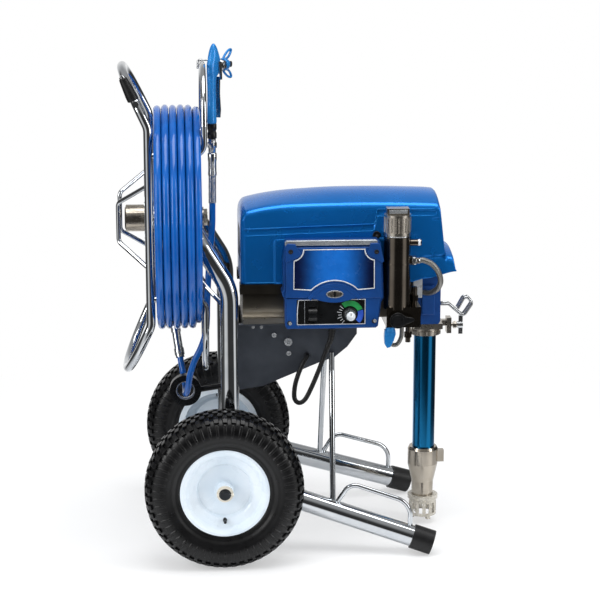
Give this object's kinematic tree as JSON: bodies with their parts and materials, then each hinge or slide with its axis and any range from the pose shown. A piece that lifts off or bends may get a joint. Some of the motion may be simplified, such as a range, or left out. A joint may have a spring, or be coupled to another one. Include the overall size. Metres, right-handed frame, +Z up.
{
  "type": "airless paint sprayer",
  "caption": "Airless paint sprayer on a two-wheel cart, with skid legs, a piston pump, a hose reel and a parked spray gun.",
  "frame": {"origin": "middle of the footprint on the floor, without the free hose", "axes": "+X from the axle towards the pump, +Y to the left, +Z up"},
  "size_m": [0.7634, 0.58, 1.056],
  "materials": {
    "chrome": "polished",
    "brushed_steel": "satin",
    "rubber": "satin",
    "tyre": "satin",
    "painted_metal": "gloss",
    "chassis": "gloss",
    "control_box": "gloss",
    "cast_iron": "satin",
    "aluminium": "satin",
    "pump_cylinder": "satin",
    "matte_plastic": "satin",
    "tip_guard": "satin",
    "prime_valve": "satin",
    "suction_strainer": "satin",
    "gloss_plastic": "gloss",
    "pressure_knob": "gloss",
    "brass": "satin"
  },
  "bodies": {
    "frame": {"axle": "brushed_steel", "axle_tube": "chrome", "braided_hose": "brushed_steel", "chassis": "chassis", "control_box": "control_box", "control_panel": "matte_plastic", "drain_hose": "rubber", "drive_housing": "control_box", "fasteners": "brushed_steel", "filter_element": "brushed_steel", "foot_caps": "rubber", "foot_valve": "cast_iron", "frame_struts": "chrome", "frame_uprights": "chrome", "gear_case": "cast_iron", "hose_guide": "matte_plastic", "manifold": "cast_iron", "motor_housing": "aluminium", "pail_hook": "brushed_steel", "power_lead": "rubber", "pump_clamp": "cast_iron", "pump_cylinder": "pump_cylinder", "reel_bushes": "brass", "shroud": "gloss_plastic", "skid_leg_left": "chrome", "skid_leg_right": "chrome", "step_loops": "chrome", "suction_strainer": "suction_strainer"},
    "wheel_left": {"tyre_left": "tyre", "rim_left": "painted_metal", "wheel_bushes_left": "brass", "valve_stem_left": "rubber"},
    "wheel_right": {"tyre_right": "tyre", "rim_right": "painted_metal", "wheel_bushes_right": "brass", "valve_stem_right": "rubber"},
    "reel": {"reel_frame": "chrome", "reel_guides": "chrome", "reel_axle": "brushed_steel", "crank_arm": "brushed_steel", "hose_coil": "gloss_plastic", "hose_tail": "gloss_plastic", "hose_coupling": "brushed_steel", "whip_hose": "gloss_plastic", "spring_guard": "brushed_steel", "gun_body": "control_box"},
    "crank_handle": {"crank_grip": "matte_plastic"},
    "trigger": {"gun_trigger": "brushed_steel"},
    "gun_guard": {"tip_guard": "tip_guard"},
    "tip": {"spray_tip": "pressure_knob"},
    "rocker": {"power_switch": "matte_plastic"},
    "knob": {"pressure_knob": "pressure_knob"},
    "prime": {"prime_valve": "prime_valve"},
    "cap": {"filter_cap": "cast_iron"},
    "rotor": {"motor_rotor": "brushed_steel"},
    "cluster": {"gear_cluster": "brushed_steel"},
    "crank": {"crank_gear": "brushed_steel"},
    "rod": {"connecting_rod": "brushed_steel"},
    "ball": {"intake_ball": "brushed_steel"},
    "wing": {"clamp_wing": "brushed_steel"}
  },
  "joints": [
    {"name": "wheel_left_spin", "type": "hinge", "parent": "frame", "child": "wheel_left", "pos_m": [-0.16612, 0.24, 0.165], "axis": [0, 1, 0], "continuous": true},
    {"name": "wheel_right_spin", "type": "hinge", "parent": "frame", "child": "wheel_right", "pos_m": [-0.16612, -0.24, 0.165], "axis": [0, 1, 0], "continuous": true},
    {"name": "reel_turn", "type": "hinge", "parent": "frame", "child": "reel", "pos_m": [-0.24413, 0, 0.69], "axis": [1, 0, 0], "range_deg": [-60, 60], "deforming": ["whip_hose", "hose_tail"]},
    {"name": "crank_handle_spin", "type": "hinge", "parent": "reel", "child": "crank_handle", "pos_m": [-0.33579, -0.13933, 0.94706], "axis": [-0.4226, 0, 0.9063], "continuous": true},
    {"name": "trigger_pull", "type": "hinge", "parent": "reel", "child": "trigger", "pos_m": [-0.17141, 0.01413, 1.014], "axis": [-0.8829, 0.4695, 0], "range_deg": [0, 4], "stiffness_Nm_per_rad": 2},
    {"name": "tip_guard_turn", "type": "hinge", "parent": "reel", "child": "gun_guard", "pos_m": [-0.15545, 0.04415, 1.008], "axis": [0.4695, 0.8829, 0], "range_deg": [-90, 90]},
    {"name": "tip_reverse", "type": "hinge", "parent": "gun_guard", "child": "tip", "pos_m": [-0.14465, 0.06445, 1.008], "axis": [-0.8829, 0.4695, 0], "range_deg": [0, 180]},
    {"name": "switch_rock", "type": "hinge", "parent": "frame", "child": "rocker", "pos_m": [0.02287, -0.14, 0.507], "axis": [1, 0, 0], "range_deg": [0, 8]},
    {"name": "pressure_turn", "type": "hinge", "parent": "frame", "child": "knob", "pos_m": [0.10088, -0.143, 0.507], "axis": [0, -1, 0], "range_deg": [-150, 150]},
    {"name": "prime_turn", "type": "hinge", "parent": "frame", "child": "prime", "pos_m": [0.18688, -0.1345, 0.476], "axis": [0, 0, 1], "range_deg": [0, 90]},
    {"name": "filter_cap_turn", "type": "hinge", "parent": "frame", "child": "cap", "pos_m": [0.20087, -0.1245, 0.671], "axis": [0, 0, 1], "continuous": true},
    {"name": "rotor_spin", "type": "hinge", "parent": "frame", "child": "rotor", "pos_m": [-0.02612, 0, 0.515], "axis": [1, 0, 0], "continuous": true},
    {"name": "cluster_spin", "type": "hinge", "parent": "frame", "child": "cluster", "pos_m": [0.10387, 0, 0.563], "axis": [1, 0, 0], "continuous": true},
    {"name": "crank_spin", "type": "hinge", "parent": "frame", "child": "crank", "pos_m": [0.13387, 0, 0.515], "axis": [1, 0, 0], "continuous": true},
    {"name": "pump_stroke", "type": "slide", "parent": "frame", "child": "rod", "axis": [0, 0, 1], "range_m": [-0.012, 0.012]},
    {"name": "ball_lift", "type": "slide", "parent": "frame", "child": "ball", "axis": [0, 0, 1], "range_m": [0, 0.006]},
    {"name": "wing_turn", "type": "hinge", "parent": "frame", "child": "wing", "pos_m": [0.34887, 0, 0.446], "axis": [1, 0, 0], "continuous": true}
  ],
  "couplings": [
    {"joint": "cluster_spin", "follows": "rotor_spin", "ratio": -0.33333},
    {"joint": "crank_spin", "follows": "rotor_spin", "ratio": 0.11111}
  ]
}
